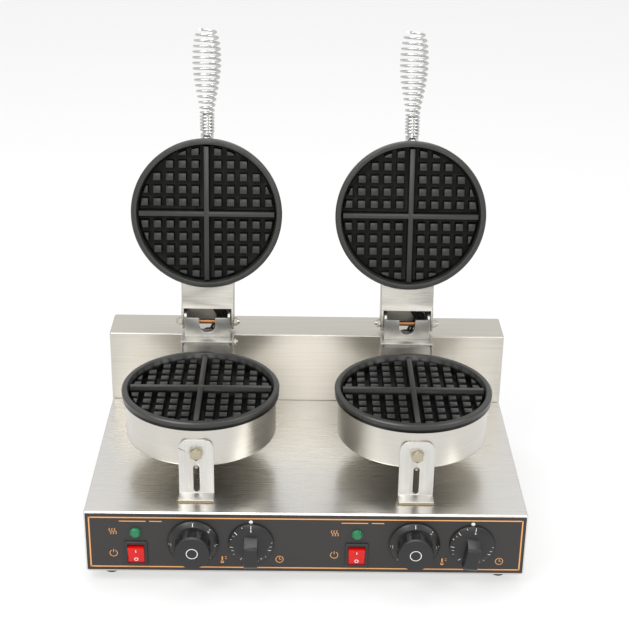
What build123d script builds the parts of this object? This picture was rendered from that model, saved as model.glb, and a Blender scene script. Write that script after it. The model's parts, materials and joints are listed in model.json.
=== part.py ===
from build123d import *
from math import asin, cos, degrees, hypot, pi, radians, sin, sqrt
import os

# A double waffle maker for a counter: a folded steel base with two heads on it.
# Each head has a fixed lower plate and a lid that folds back about a pivot rod.
# The lids are modelled open, as they stand at rest. Millimetres, +Z up, the front faces -Y,
# and the origin is the middle of the whole object, on the surface that it stands on.

os.makedirs("parts", exist_ok=True)

# Base
body_width = 500.0
body_depth = 328.0
body_height = 79.0
upstand_depth = 57.4
upstand_rise = 93.0
sheet = 1.2
bend_radius = 2.5
bottom_sheet = 1.5
bottom_flange = 14.0
foot_height = 14.0
foot_radius = 10.5
foot_inset = 26.0
wiring_slot_depth = 30.0
wiring_slot_width = 380.0

# Heads
head_spacing = 250.0
head_from_front = 129.6
plate_rise = 93.6
plate_radius = 92.5
rim_height = 10.0
drum_radius = 88.5
drum_depth = 58.3
drum_wall = 1.2
drum_edge_radius = 3.0
plate_fit = 1.2
plate_body_depth = 20.0

# Waffle pattern
rim_width = 6.5
recess_depth = 14.0
recess_draft = 3.5
rib_width = 5.6
rib_drop = 1.0
peg_pitch = 15.6
peg_first = 13.7
peg_base = 10.3
peg_top = 8.5
peg_drop = 5.0
peg_rows = 5
peg_margin = 0.8

# Hinge
pivot_from_front = 270.0
pivot_rise = 111.3
mating_gap = 0.4
lid_open = 99.3
rod_radius = 3.0
rod_fit = 0.05
saddle_width = 57.0
saddle_sheet = 3.0
web_setback = 14.0
web_above_pivot = 10.6
tab_above_pivot = 15.5
notch_width = 20.0
notch_depth = 20.0
ear_sheet = 3.0
arm_width = 65.0
arm_sheet = 2.5
arm_front_depth = 12.0
arm_back_gap = 24.5
arm_lip_depth = 8.0
arm_crease = 28.0
arm_lip_end = 17.8
ear_radius = 9.5
stop_gap = 0.3
post_depth = 28.6
post_sheet = 2.5
bracket_sheet = 3.0
bracket_corner = 5.0
bracket_reach = 46.0

# Front strap
strap_width = 40.0
strap_sheet = 3.0
strap_height = 72.0
strap_foot = 16.0
strap_corner = 12.0
strap_slot_width = 7.0
strap_slot_top = 39.0
strap_slot_bottom = 4.0
strap_bolt_height = 55.0
bolt_radius = 4.0
bolt_head = 5.4
bolt_flats = 13.0
bolt_washer_radius = 6.1
hole_fit = 0.2

# Handle
handle_depth = 24.0
handle_reach = 222.0
wire_radius = 1.5
neck_radius = 7.6
bulb_radius = 16.2
end_radius = 7.8
neck_length = 24.0
bulb_peak = 36.0
neck_pitch = 4.0
bulb_pitch = 6.7
stem_collar_radius = 8.0
stem_collar_height = 7.0
coil_fit = 0.4

# Controls, placed from the middle of their head and below the deck
label_plate_sheet = 1.0
label_plate_width = 496.0
label_plate_height = 74.5
lamp_offset = -67.0
lamp_drop = 25.4
lamp_radius = 6.2
switch_drop = 53.2
switch_width = 26.0
switch_height = 32.0
switch_bezel = 2.0
switch_window_width = 19.2
switch_window_height = 24.6
switch_body_depth = 22.0
rocker_half_height = 10.9
rocker_width = 18.6
rocker_tilt = 11.0
temperature_offset = -2.0
timer_offset = 63.2
knob_drop = 37.8
knob_gap = 0.8
knob_reach = 24.0
temperature_skirt_radius = 28.8
temperature_grip_radius = 20.5
timer_disc_radius = 25.6
timer_bar_width = 15.5
timer_right_turn = 8.0
spindle_radius = 3.0
spindle_fit = 0.05
bush_radius = 4.8

# Leads through the hinge
lead_radius = 1.7
lead_pitch = 4.6
lead_count = 4
lead_gap_to_pivot = 14.0
lead_lean = 1.5
screw_radius = 2.0
screw_length = 12.0
gland_radius = 9.0
gland_inset = 60.0
gland_rise = 30.0
grommet_offset = 7.0
lead_fit = 0.3
lead_squeeze = 0.85
lead_shift = -5.0
lead_depth = 14.0

# Everything that the rest is worked out from
swing = lid_open - 90.0
tilt_sin = sin(radians(swing))
tilt_cos = cos(radians(swing))
hinge_reach = pivot_from_front - head_from_front
hinge_rise = pivot_rise - plate_rise - mating_gap
lid_center_back = pivot_from_front + hinge_reach * tilt_sin - hinge_rise * tilt_cos
corner_up = drum_radius - drum_edge_radius
corner_in = drum_depth - drum_edge_radius
reach_back = lid_center_back + corner_up * tilt_sin + corner_in * tilt_cos + drum_edge_radius
reach_front = label_plate_sheet + knob_reach
front_y = (reach_front - reach_back) / 2

shell_bottom = foot_height + bottom_sheet
deck_z = foot_height + body_height
head_y = front_y + head_from_front
mating_z = deck_z + plate_rise
pivot_y = front_y + pivot_from_front
pivot_z = deck_z + pivot_rise
upstand_y = front_y + body_depth - upstand_depth
back_y = front_y + body_depth
label_y = front_y - label_plate_sheet
floor_depth = recess_depth
recess_radius = plate_radius - rim_width
floor_radius = recess_radius - recess_draft
lead_slot = (lead_count - 1) * lead_pitch + 2 * (lead_radius + lead_fit)
gland_x = -(body_width / 2 - gland_inset)
heads = {"left": -head_spacing / 2, "right": head_spacing / 2}


def finish_part(part, label):
    """Name a finished piece and write it."""
    part.label = label
    export_step(part, f"parts/{label}.step")


def lid_directions():
    """The open lid's up direction and the way its plate faces."""
    return Vector(0, tilt_sin, tilt_cos), Vector(0, -tilt_cos, tilt_sin)


def lower_face(x):
    """The mating face of a lower plate: it looks up, and its +Y points back."""
    return Plane(origin=(x, head_y, mating_z), x_dir=(1, 0, 0), z_dir=(0, 0, 1))


def upper_face(x):
    """The mating face of an open lid: it looks forward, and its +Y points to the handle."""
    up, facing = lid_directions()
    origin = Vector(x, pivot_y, pivot_z) + up * hinge_reach + facing * hinge_rise
    return Plane(origin=origin, x_dir=(1, 0, 0), z_dir=facing)


def side_of(face):
    """The section plane of a head: local X runs along the face, local Y out of it."""
    return Plane(origin=face.origin, x_dir=face.y_dir, z_dir=(1, 0, 0))


def front_plane(x, z, y):
    """A plane parallel to the front that looks forward, with its +Y up."""
    return Plane(origin=(x, y, z), x_dir=(1, 0, 0), z_dir=(0, -1, 0))


def shifted(face, along, out):
    """A head's face moved towards its handle side and out of the face."""
    return face.origin + face.y_dir * along + face.z_dir * out


def polar(radius, angle):
    """A point at an angle in degrees about a local origin."""
    return (radius * cos(radians(angle)), radius * sin(radians(angle)))


# Base shell: deck, sides and front folded from one sheet, with a flange turned in below
with BuildPart() as base_shell:
    with BuildSketch(Plane.XY.offset(shell_bottom)):
        with Locations((0, front_y + body_depth / 2)):
            Rectangle(body_width, body_depth)
    extrude(amount=deck_z - shell_bottom)
    fillet(base_shell.edges().filter_by(Axis.Z), bend_radius)
    fillet(base_shell.faces().sort_by(Axis.Z)[-1].edges(), bend_radius)
    with BuildSketch(Plane.XY.offset(shell_bottom)):
        with Locations((0, front_y + body_depth / 2)):
            RectangleRounded(body_width - 2 * sheet, body_depth - 2 * sheet, bend_radius - sheet)
    extrude(amount=deck_z - shell_bottom - sheet, mode=Mode.SUBTRACT)
    with BuildSketch(Plane.XY.offset(shell_bottom)):
        with Locations((0, front_y + body_depth / 2)):
            Rectangle(body_width - 2 * sheet, body_depth - 2 * sheet)
            Rectangle(body_width - 2 * bottom_flange, body_depth - 2 * bottom_flange, mode=Mode.SUBTRACT)
    extrude(amount=sheet)
    with BuildSketch(Plane.XY.offset(deck_z - 2 * sheet)):
        with Locations((0, upstand_y + upstand_depth / 2)):
            Rectangle(wiring_slot_width, wiring_slot_depth)
    extrude(amount=4 * sheet, mode=Mode.SUBTRACT)

    front_holes = []
    for head_x in heads.values():
        front_holes.append((head_x + lamp_offset, deck_z - lamp_drop, lamp_radius + hole_fit - 1.0))
        for offset in (temperature_offset, timer_offset):
            front_holes.append((head_x + offset, deck_z - knob_drop, bush_radius + hole_fit))
    with BuildSketch(front_plane(0, 0, front_y + 2 * sheet)):
        for hole_x, hole_z, hole_radius in front_holes:
            with Locations((hole_x, hole_z)):
                Circle(hole_radius)
        for head_x in heads.values():
            with Locations((head_x + lamp_offset, deck_z - switch_drop)):
                Rectangle(switch_window_width + 3, switch_window_height + 3)
    extrude(amount=4 * sheet, mode=Mode.SUBTRACT)

    with BuildSketch(front_plane(0, 0, back_y + sheet)):
        with Locations((gland_x, shell_bottom + gland_rise)):
            Circle(gland_radius + hole_fit)
    extrude(amount=4 * sheet, mode=Mode.SUBTRACT)

    screw_x = body_width / 2 - bottom_flange / 2 - sheet
    screw_ys = [front_y + bottom_flange / 2 + sheet, back_y - bottom_flange / 2 - sheet]
    screw_spots = [(x, y) for x in (-screw_x, 0, screw_x) for y in screw_ys]
    screw_spots += [(x, front_y + body_depth / 2) for x in (-screw_x, screw_x)]
    with BuildSketch(Plane.XY.offset(shell_bottom - sheet)):
        with Locations(*screw_spots):
            Circle(screw_radius + rod_fit)
    extrude(amount=3 * sheet, mode=Mode.SUBTRACT)
finish_part(base_shell.part, "base_shell")


# Label plate: black printed sheet that covers the front
with BuildPart() as label_plate:
    with BuildSketch(front_plane(0, shell_bottom + (deck_z - shell_bottom) / 2, front_y)):
        Rectangle(label_plate_width, label_plate_height)
    extrude(amount=label_plate_sheet)
    fillet(label_plate.edges().filter_by(Axis.Y), 1.0)
    with BuildSketch(front_plane(0, 0, front_y + sheet)):
        for hole_x, hole_z, hole_radius in front_holes:
            with Locations((hole_x, hole_z)):
                Circle(hole_radius)
        for head_x in heads.values():
            with Locations((head_x + lamp_offset, deck_z - switch_drop)):
                Rectangle(switch_window_width + 3, switch_window_height + 3)
    extrude(amount=3 * sheet, mode=Mode.SUBTRACT)
finish_part(label_plate.part, "label_plate")


# Bottom plate: closes the base, and carries the feet
foot_spots = [
    (side * (body_width / 2 - foot_inset), y)
    for side in (-1, 1)
    for y in (front_y + foot_inset, back_y - foot_inset)
]
with BuildPart() as bottom_plate:
    with BuildSketch(Plane.XY.offset(foot_height)):
        with Locations((0, front_y + body_depth / 2)):
            RectangleRounded(body_width - 2, body_depth - 2, 3)
        with Locations(*screw_spots, *foot_spots):
            Circle(screw_radius + rod_fit, mode=Mode.SUBTRACT)
    extrude(amount=bottom_sheet)
finish_part(bottom_plate.part, "bottom_plate")


# Feet: tapered rubber feet with a recess for the screw head
foot_recess = 7.0
with BuildPart() as feet:
    with BuildSketch(Plane.XZ):
        with BuildLine():
            Polyline(
                (screw_radius + rod_fit, foot_recess),
                (screw_radius + rod_fit, foot_height),
                (foot_radius, foot_height),
                (foot_radius - 1.5, 1.0),
                (foot_radius - 2.5, 0),
                (4.6, 0),
                (4.6, foot_recess),
                close=True,
            )
        make_face()
    revolve(axis=Axis.Z)
foot_part = feet.part
with BuildPart() as feet:
    with Locations(*[(x, y, 0) for x, y in foot_spots]):
        add(foot_part)
finish_part(feet.part, "feet")


# Base screws: pan heads, one pattern for the bottom plate and one for the feet
with BuildPart() as pan_screw:
    with BuildSketch(Plane.XZ):
        with BuildLine():
            Polyline((0, -2.2), (0, screw_length), (screw_radius, screw_length), (screw_radius, 0), (3.8, 0))
            RadiusArc((3.8, 0), (2.6, -2.2), 2.6)
            Line((2.6, -2.2), (0, -2.2))
        make_face()
    revolve(axis=Axis.Z)
with BuildPart() as base_screws:
    with Locations(*[(x, y, foot_height) for x, y in screw_spots]):
        add(pan_screw.part)
    with Locations(*[(x, y, foot_recess) for x, y in foot_spots]):
        add(pan_screw.part)
finish_part(base_screws.part, "base_screws")


# Rear upstand: box folded from sheet that stands on the back of the deck
with BuildPart() as rear_upstand:
    with BuildSketch(Plane.XY.offset(deck_z)):
        with Locations((0, upstand_y + upstand_depth / 2)):
            Rectangle(body_width, upstand_depth)
    extrude(amount=upstand_rise)
    fillet(rear_upstand.edges().filter_by(Axis.Z), bend_radius)
    fillet(rear_upstand.faces().sort_by(Axis.Z)[-1].edges(), bend_radius - sheet)
    with BuildSketch(Plane.XY.offset(deck_z)):
        with Locations((0, upstand_y + upstand_depth / 2)):
            RectangleRounded(body_width - 2 * sheet, upstand_depth - 2 * sheet, bend_radius - sheet)
    extrude(amount=upstand_rise - sheet, mode=Mode.SUBTRACT)
    lead_exit_y = pivot_y + lead_gap_to_pivot - lead_lean
    with BuildSketch(Plane.XY.offset(deck_z + upstand_rise - 2 * sheet)):
        with Locations(*[(x + grommet_offset, lead_exit_y) for x in heads.values()]):
            SlotOverall(lead_slot + 5, 9)
    extrude(amount=4 * sheet, mode=Mode.SUBTRACT)
finish_part(rear_upstand.part, "rear_upstand")


# Lead grommets: rubber lips on the edge of the two holes in the upstand
with BuildPart() as lead_grommets:
    for head_x in heads.values():
        with BuildSketch(Plane.XY.offset(deck_z + upstand_rise)):
            with Locations((head_x + grommet_offset, lead_exit_y)):
                SlotOverall(lead_slot + 8, 12)
                SlotOverall(lead_slot, 2 * (lead_radius + lead_fit), mode=Mode.SUBTRACT)
        extrude(amount=1.4)
        with BuildSketch(Plane.XY.offset(deck_z + upstand_rise - sheet - 1.2)):
            with Locations((head_x + grommet_offset, lead_exit_y)):
                SlotOverall(lead_slot + 4.8, 8.8)
                SlotOverall(lead_slot, 2 * (lead_radius + lead_fit), mode=Mode.SUBTRACT)
        extrude(amount=sheet + 1.2)
finish_part(lead_grommets.part, "lead_grommets")


# Cable gland: hexagonal inlet in the back wall, with its nut inside
with BuildPart() as cable_gland:
    gland_face = Plane(origin=(gland_x, back_y, shell_bottom + gland_rise), x_dir=(-1, 0, 0), z_dir=(0, 1, 0))
    with BuildSketch(gland_face):
        RegularPolygon(12, 6, major_radius=False)
    extrude(amount=5)
    with BuildSketch(gland_face.offset(5)):
        Circle(9.5)
    extrude(amount=10, taper=8)
    with BuildSketch(gland_face.offset(-12)):
        Circle(gland_radius)
    extrude(amount=12)
    with BuildSketch(gland_face.offset(-sheet - 5)):
        RegularPolygon(12, 6, major_radius=False)
    extrude(amount=5)
    with BuildSketch(gland_face.offset(-12)):
        Circle(4.2)
    extrude(amount=27, mode=Mode.SUBTRACT)
finish_part(cable_gland.part, "cable_gland")


# Terminal block: three screw clamps for the supply, on the bottom plate
block_y = back_y - 40
with BuildPart() as terminal_block:
    with BuildSketch(Plane.XY.offset(shell_bottom)):
        with Locations((gland_x + 30, block_y)):
            RectangleRounded(48, 24, 2)
    extrude(amount=16)
    with BuildSketch(Plane.XY.offset(shell_bottom + 16)):
        with Locations((gland_x + 30, block_y)):
            with GridLocations(14, 0, 3, 1):
                Rectangle(11, 20)
    extrude(amount=5)
    with Locations(Plane((gland_x + 30, block_y, shell_bottom + 21))):
        with GridLocations(14, 0, 3, 1):
            CounterBoreHole(1.6, 3.4, 2.5, 12)
finish_part(terminal_block.part, "terminal_block")


def make_drum(name, face, side_holes):
    """Steel drum of a head: a cup that opens to the plate, with holes through its side."""
    with BuildPart() as drum:
        with BuildSketch(Plane(face.origin - face.z_dir * drum_depth, x_dir=(1, 0, 0), z_dir=face.z_dir)):
            Circle(drum_radius)
        extrude(amount=drum_depth - rim_height)
        far_face = drum.faces().filter_by(GeomType.PLANE).sort_by(lambda f: (f.center() - face.origin).dot(face.z_dir))[0]
        fillet(far_face.edges(), drum_edge_radius)
        with BuildSketch(Plane(face.origin - face.z_dir * (drum_depth - drum_wall), x_dir=(1, 0, 0), z_dir=face.z_dir)):
            Circle(drum_radius - drum_wall)
        extrude(amount=drum_depth - rim_height, mode=Mode.SUBTRACT)
        for side, across, depth, radius in side_holes:
            spot = shifted(face, side * (drum_radius - 6), -depth) + face.x_dir * across
            with BuildSketch(Plane(spot, x_dir=(1, 0, 0), z_dir=face.y_dir * side)):
                Circle(radius)
            extrude(amount=12, mode=Mode.SUBTRACT)
    finish_part(drum.part, name)


def make_plate(name, face):
    """Cast plate of a head: rim, recess with a cross of ribs, and rows of tapered pegs."""
    section = Plane(origin=face.origin, x_dir=(1, 0, 0), z_dir=-face.y_dir)
    body_radius = drum_radius - drum_wall - plate_fit
    floor = Plane(shifted(face, 0, -floor_depth), x_dir=(1, 0, 0), z_dir=face.z_dir)
    with BuildPart() as plate:
        with BuildSketch(section):
            with BuildLine():
                Polyline(
                    (0, -floor_depth),
                    (floor_radius, -floor_depth),
                    (recess_radius, 0),
                    (plate_radius - 1.5, 0),
                    (plate_radius, -1.5),
                    (plate_radius - 0.6, -rim_height),
                    (body_radius, -rim_height),
                    (body_radius - 1, -plate_body_depth),
                    (0, -plate_body_depth),
                    close=True,
                )
            make_face()
        revolve(axis=Axis(face.origin, face.z_dir))
        with BuildSketch(floor) as pegs:
            steps = [peg_first + peg_pitch * row for row in range(peg_rows)]
            spots = [(sx * x, sy * y) for x in steps for y in steps for sx in (-1, 1) for sy in (-1, 1)]
            reach = floor_radius - peg_margin
            near = [s for s in spots if hypot(abs(s[0]) - peg_base / 2, abs(s[1]) - peg_base / 2) < reach - 3.5]
            with Locations(*near):
                Rectangle(peg_base, peg_base)
            Circle(reach, mode=Mode.INTERSECT)
        peg_height = floor_depth - peg_drop
        extrude(amount=peg_height, taper=degrees((peg_base - peg_top) / 2 / peg_height))
        with BuildSketch(floor):
            Rectangle(2 * floor_radius + 2, rib_width + 1.6)
            Rectangle(rib_width + 1.6, 2 * floor_radius + 2)
        extrude(amount=floor_depth - rib_drop, taper=3.5)
    finish_part(plate.part, name)


def make_heater(name, face):
    """Tubular heating element: a ring clamped under the plate, with two cold ends."""
    ring_radius = 58.0
    tube_radius = 4.2
    ring_depth = plate_body_depth + tube_radius + 0.1
    ring_plane = Plane(shifted(face, 0, -ring_depth), x_dir=(1, 0, 0), z_dir=face.z_dir)
    with BuildPart() as heater:
        with BuildLine(ring_plane):
            ring = CenterArc((0, 0), ring_radius, 10, 340)
        with BuildSketch(Plane(ring @ 0, x_dir=face.z_dir, z_dir=ring % 0)):
            Circle(tube_radius)
        sweep()
        for end in (ring @ 0, ring @ 1):
            with BuildSketch(Plane(end, x_dir=(1, 0, 0), z_dir=-face.z_dir)):
                Circle(tube_radius - 0.2)
            extrude(amount=20)
    finish_part(heater.part, name)


def wind_handle(face):
    """The centre line of a grip: a helix whose radius follows the bulb, as tangent arcs."""
    start = drum_radius + stem_collar_height + wire_radius + 0.2
    length = handle_reach - start - wire_radius

    def radius_at(travel):
        from_top = length - travel
        if travel < neck_length:
            return neck_radius
        bulb_length = length - neck_length
        if from_top > bulb_peak:
            share = (travel - neck_length) / (bulb_length - bulb_peak)
            return neck_radius + (bulb_radius - neck_radius) * sin(share * pi / 2) ** 1.3
        share = from_top / bulb_peak
        return end_radius + (bulb_radius - end_radius) * sqrt(1 - (1 - share) ** 2)

    steps_per_turn = 4
    travel = 0.0
    angle = -90.0
    stations = []
    while travel < length:
        stations.append((angle, travel))
        blend = min(max((travel - neck_length + 6) / 12, 0), 1)
        travel += (neck_pitch + (bulb_pitch - neck_pitch) * blend) / steps_per_turn
        angle += 360 / steps_per_turn
    axis_start = shifted(face, start, -handle_depth)

    def point_at(index):
        angle, travel = stations[index]
        r = radius_at(min(travel, length))
        return axis_start + face.y_dir * travel + face.x_dir * (r * cos(radians(angle))) - face.z_dir * (
            r * sin(radians(angle))
        )

    points = [point_at(i) for i in range(len(stations))]
    tangents = []
    for i, (angle, travel) in enumerate(stations):
        ahead = points[min(i + 1, len(points) - 1)]
        behind = points[max(i - 1, 0)]
        climb = (ahead - behind).dot(face.y_dir) / (2 if 0 < i < len(points) - 1 else 1)
        outward = face.x_dir * cos(radians(angle)) - face.z_dir * sin(radians(angle))
        around = face.x_dir * -sin(radians(angle)) - face.z_dir * cos(radians(angle))
        r = radius_at(min(travel, length))
        r_ahead = radius_at(min(stations[min(i + 1, len(points) - 1)][1], length))
        r_behind = radius_at(min(stations[max(i - 1, 0)][1], length))
        swell = (r_ahead - r_behind) / (2 if 0 < i < len(points) - 1 else 1)
        quarter = r * pi / 2
        tangents.append((around * quarter + face.y_dir * climb + outward * swell).normalized())
    return points, tangents


def joint_of(p0, t0, p1, t1):
    """The point where the two arcs of a biarc meet."""
    chord = p1 - p0
    total = t0 + t1
    flat = 2 * (1 - t0.dot(t1))
    along = chord.dot(total)
    handle = (sqrt(along * along + flat * chord.dot(chord)) - along) / flat
    return (p0 + p1 + (t0 - t1) * handle) * 0.5


def make_coil(name, face):
    """Spring-wire grip: one wire wound into a narrow neck and a hollow bulb."""
    points, tangents = wind_handle(face)
    lead_in = points[0] - tangents[0] * (2 * wire_radius)
    lead_out = points[-1] + tangents[-1] * (2 * wire_radius)
    with BuildPart() as coil:
        with BuildLine() as wire_line:
            Line(lead_in, points[0])
            for i in range(len(points) - 1):
                middle = joint_of(points[i], tangents[i], points[i + 1], tangents[i + 1])
                arc = TangentArc(points[i], middle, tangent=tangents[i])
                TangentArc(middle, points[i + 1], tangent=arc % 1)
            Line(points[-1], lead_out)
        with BuildSketch(Plane(lead_in, z_dir=tangents[0])):
            Circle(wire_radius)
        sweep()
    finish_part(coil.part, name)
    return wire_line.line


def gap_along(line, steps=1400, apart=40):
    """The least gap between turns of a wound wire, measured on points."""
    spots = [line @ (i / steps) for i in range(steps + 1)]
    least = min(
        (spots[i] - spots[j]).length
        for i in range(0, steps, 3)
        for j in range(i + apart, min(i + 6 * apart, steps + 1), 2)
    )
    return least - 2 * wire_radius


strap_y = head_y - drum_radius - strap_sheet
web_y = pivot_y - web_setback
shelf_z = pivot_z - (pivot_rise - upstand_rise) + saddle_sheet
post_y = upstand_y - post_depth
inner_half = arm_width / 2 - ear_sheet

for side, head_x in heads.items():
    lower = lower_face(head_x)
    upper = upper_face(head_x)

    make_plate(f"{side}_lower_plate", lower)
    make_plate(f"{side}_upper_plate", upper)
    strap_hole_depth = plate_rise - strap_bolt_height
    make_drum(f"{side}_lower_drum", lower, [(-1, 0, strap_hole_depth, bolt_radius + hole_fit)])
    lead_hole = (lead_count - 1) / 2 * lead_pitch * lead_squeeze + lead_radius + lead_fit
    lid_holes = [
        (1, 0, handle_depth, bolt_radius + hole_fit),
        (-1, lead_shift, arm_front_depth + lead_depth, lead_hole),
    ]
    make_drum(f"{side}_upper_drum", upper, lid_holes)
    make_heater(f"{side}_lower_heater", lower)
    make_heater(f"{side}_upper_heater", upper)

    # Front strap: stands on a welded foot, and holds the front of the drum
    with BuildPart() as strap:
        with BuildSketch(Plane.YZ.offset(head_x - strap_width / 2)) as strap_section:
            with BuildLine():
                Polyline(
                    (strap_y - strap_foot, deck_z),
                    (strap_y + strap_sheet, deck_z),
                    (strap_y + strap_sheet, deck_z + strap_height),
                    (strap_y, deck_z + strap_height),
                    (strap_y, deck_z + strap_sheet),
                    (strap_y - strap_foot, deck_z + strap_sheet),
                    close=True,
                )
            make_face()
            fillet(strap_section.vertices().sort_by_distance((head_x - strap_width / 2, strap_y, deck_z + strap_sheet))[0], 2)
            fillet(strap_section.vertices().sort_by_distance((head_x - strap_width / 2, strap_y + strap_sheet, deck_z))[0], 4)
        extrude(amount=strap_width)
        top_edges = strap.edges().filter_by(Axis.Y).group_by(Axis.Z)[-1]
        fillet(top_edges, strap_corner)
        with BuildSketch(front_plane(head_x, deck_z, strap_y + 2 * strap_sheet)):
            with Locations((0, (strap_slot_top + strap_slot_bottom) / 2)):
                SlotOverall(strap_slot_top - strap_slot_bottom, strap_slot_width, rotation=90)
            with Locations((0, strap_bolt_height)):
                Circle(bolt_radius + hole_fit)
        extrude(amount=2.5 * strap_sheet, mode=Mode.SUBTRACT)
    finish_part(strap.part, f"{side}_strap")

    # Hinge post: channel that stands against the upstand, with a shelf on top
    with BuildPart() as hinge_post:
        with BuildSketch(Plane.XY.offset(deck_z)):
            with Locations((head_x, post_y + post_depth / 2)):
                Rectangle(arm_width, post_depth)
        extrude(amount=shelf_z - deck_z)
        with BuildSketch(Plane.XY.offset(deck_z)):
            with Locations((head_x, post_y + (post_depth - post_sheet) / 2)):
                Rectangle(arm_width - 2 * post_sheet, post_depth - post_sheet)
        extrude(amount=shelf_z - deck_z - post_sheet, mode=Mode.SUBTRACT)
        outer_corners = hinge_post.edges().filter_by(Axis.Y).group_by(Axis.Z)[-1]
        fillet(outer_corners, 1.5)
    finish_part(hinge_post.part, f"{side}_hinge_post")

    # Drum bracket: angle plate in the mouth of the post, with a ledge under the drum
    bracket_y = post_y + 1.0
    ledge_top = mating_z - drum_depth
    with BuildPart() as drum_bracket:
        with BuildSketch(front_plane(head_x, deck_z, bracket_y + bracket_sheet)):
            bracket_height = shelf_z - post_sheet - deck_z
            with Locations((0, bracket_height / 2)):
                Rectangle(arm_width - 2 * post_sheet - 0.2, bracket_height - 0.2)
        extrude(amount=bracket_sheet)
        fillet(drum_bracket.edges().filter_by(Axis.Y).group_by(Axis.Z)[-1], bracket_corner)
        with BuildSketch(Plane.XY.offset(ledge_top - bracket_sheet)):
            with Locations((head_x, bracket_y - bracket_reach / 2)):
                Rectangle(arm_width - 2 * post_sheet - 0.2, bracket_reach)
        extrude(amount=bracket_sheet)
        ledge_corners = drum_bracket.edges().filter_by(Axis.Z).group_by(Axis.Y)[0]
        fillet(ledge_corners, bracket_corner)
    finish_part(drum_bracket.part, f"{side}_drum_bracket")

    # Hinge saddle: bent channel with a notched front web and two ears for the rod
    with BuildPart() as hinge_saddle:
        stop_radius = arm_back_gap - stop_gap
        base_drop = shelf_z - pivot_z
        stop_low = (stop_radius * tilt_cos + base_drop * 0.4 * tilt_sin, -stop_radius * tilt_sin + base_drop * 0.4)
        arc_end_angle = degrees(asin(tab_above_pivot / stop_radius))
        with BuildSketch(Plane(origin=(head_x - saddle_width / 2, pivot_y, pivot_z), x_dir=(0, 1, 0), z_dir=(1, 0, 0))):
            with BuildLine():
                stop_high = polar(stop_radius, -swing)
                arc_end = polar(stop_radius, arc_end_angle)
                ThreePointArc(stop_high, polar(stop_radius, (arc_end_angle - swing) / 2), arc_end)
                Polyline(
                    arc_end,
                    (-web_setback + 3, tab_above_pivot),
                    (-web_setback, tab_above_pivot - 3),
                    (-web_setback, base_drop),
                    (8, base_drop),
                    stop_low,
                    stop_high,
                )
            make_face()
        extrude(amount=saddle_width)
        inner_width = saddle_width - 2 * saddle_sheet
        with BuildSketch(Plane(origin=(head_x - inner_width / 2, pivot_y, pivot_z), x_dir=(0, 1, 0), z_dir=(1, 0, 0))):
            with BuildLine():
                Polyline(
                    (-web_setback + saddle_sheet, base_drop + saddle_sheet),
                    (-web_setback + saddle_sheet, web_above_pivot),
                    (-web_setback - 1, web_above_pivot),
                    (-web_setback - 1, tab_above_pivot + 1),
                    (stop_radius + 2, tab_above_pivot + 1),
                    (stop_radius + 2, base_drop - 1),
                    (4, base_drop - 1),
                    (4, base_drop + saddle_sheet),
                    close=True,
                )
            make_face()
        extrude(amount=inner_width, mode=Mode.SUBTRACT)
        with BuildSketch(front_plane(head_x, pivot_z + web_above_pivot, web_y + saddle_sheet + 1)):
            with Locations((0, -notch_depth + notch_width / 2)):
                Circle(notch_width / 2)
            with Locations((0, (-notch_depth + notch_width / 2) / 2 + 1)):
                Rectangle(notch_width, notch_depth - notch_width / 2 + 2)
        extrude(amount=saddle_sheet + 2, mode=Mode.SUBTRACT)
        with BuildSketch(Plane(origin=(head_x - saddle_width, pivot_y, pivot_z), x_dir=(0, 1, 0), z_dir=(1, 0, 0))):
            Circle(rod_radius + rod_fit)
        extrude(amount=2 * saddle_width, mode=Mode.SUBTRACT)
    finish_part(hinge_saddle.part, f"{side}_hinge_saddle")

    # Pivot rod: copper-coloured rod through saddle and arm
    rod_length = arm_width + 13.0
    rod_plane = Plane(origin=(head_x - rod_length / 2, pivot_y, pivot_z), x_dir=(0, 1, 0), z_dir=(1, 0, 0))
    with BuildPart() as pivot_rod:
        with BuildSketch(rod_plane):
            Circle(rod_radius)
        extrude(amount=rod_length)
    finish_part(pivot_rod.part, f"{side}_pivot_rod")

    # Hinge arm: channel of the lid, open below, whose cheeks turn on the rod
    arm_side = side_of(upper)
    drum_meet = sqrt(drum_radius**2 - (arm_width / 2) ** 2)
    back_depth = hinge_rise + arm_back_gap
    arm_start = -hinge_reach
    with BuildPart() as hinge_arm:
        with BuildSketch(arm_side.offset(-arm_width / 2)):
            with BuildLine():
                Polyline(
                    (-drum_meet + 2, -arm_front_depth),
                    (arm_start + arm_crease, -arm_front_depth),
                    (arm_start + arm_lip_end, -arm_lip_depth),
                    (arm_start, -hinge_rise + ear_radius),
                )
                ThreePointArc(
                    (arm_start, -hinge_rise + ear_radius),
                    (arm_start - ear_radius, -hinge_rise),
                    (arm_start, -hinge_rise - ear_radius),
                )
                Polyline(
                    (arm_start, -hinge_rise - ear_radius),
                    (arm_start - 6, -back_depth),
                    (arm_start - 6, -back_depth - arm_sheet),
                    (-drum_meet + 2, -back_depth - arm_sheet),
                    (-drum_meet + 2, -arm_front_depth),
                )
            make_face()
        extrude(amount=arm_width)
        with BuildSketch(arm_side.offset(-inner_half)):
            with BuildLine():
                Polyline(
                    (-drum_meet + 4, -arm_front_depth - arm_sheet),
                    (arm_start + arm_crease - 0.5, -arm_front_depth - arm_sheet),
                    (arm_start + arm_lip_end + 0.9, -arm_lip_depth - arm_sheet),
                    (arm_start + arm_lip_end, 0),
                    (arm_start - ear_radius - 4, 0),
                    (arm_start - ear_radius - 4, -back_depth),
                    (-drum_meet + 4, -back_depth),
                    close=True,
                )
            make_face()
        extrude(amount=2 * inner_half, mode=Mode.SUBTRACT)
        with BuildSketch(arm_side.offset(-arm_width)):
            with Locations((arm_start, -hinge_rise)):
                Circle(rod_radius + rod_fit)
        extrude(amount=2 * arm_width, mode=Mode.SUBTRACT)
        with BuildSketch(upper):
            Circle(drum_radius + 0.05)
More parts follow.
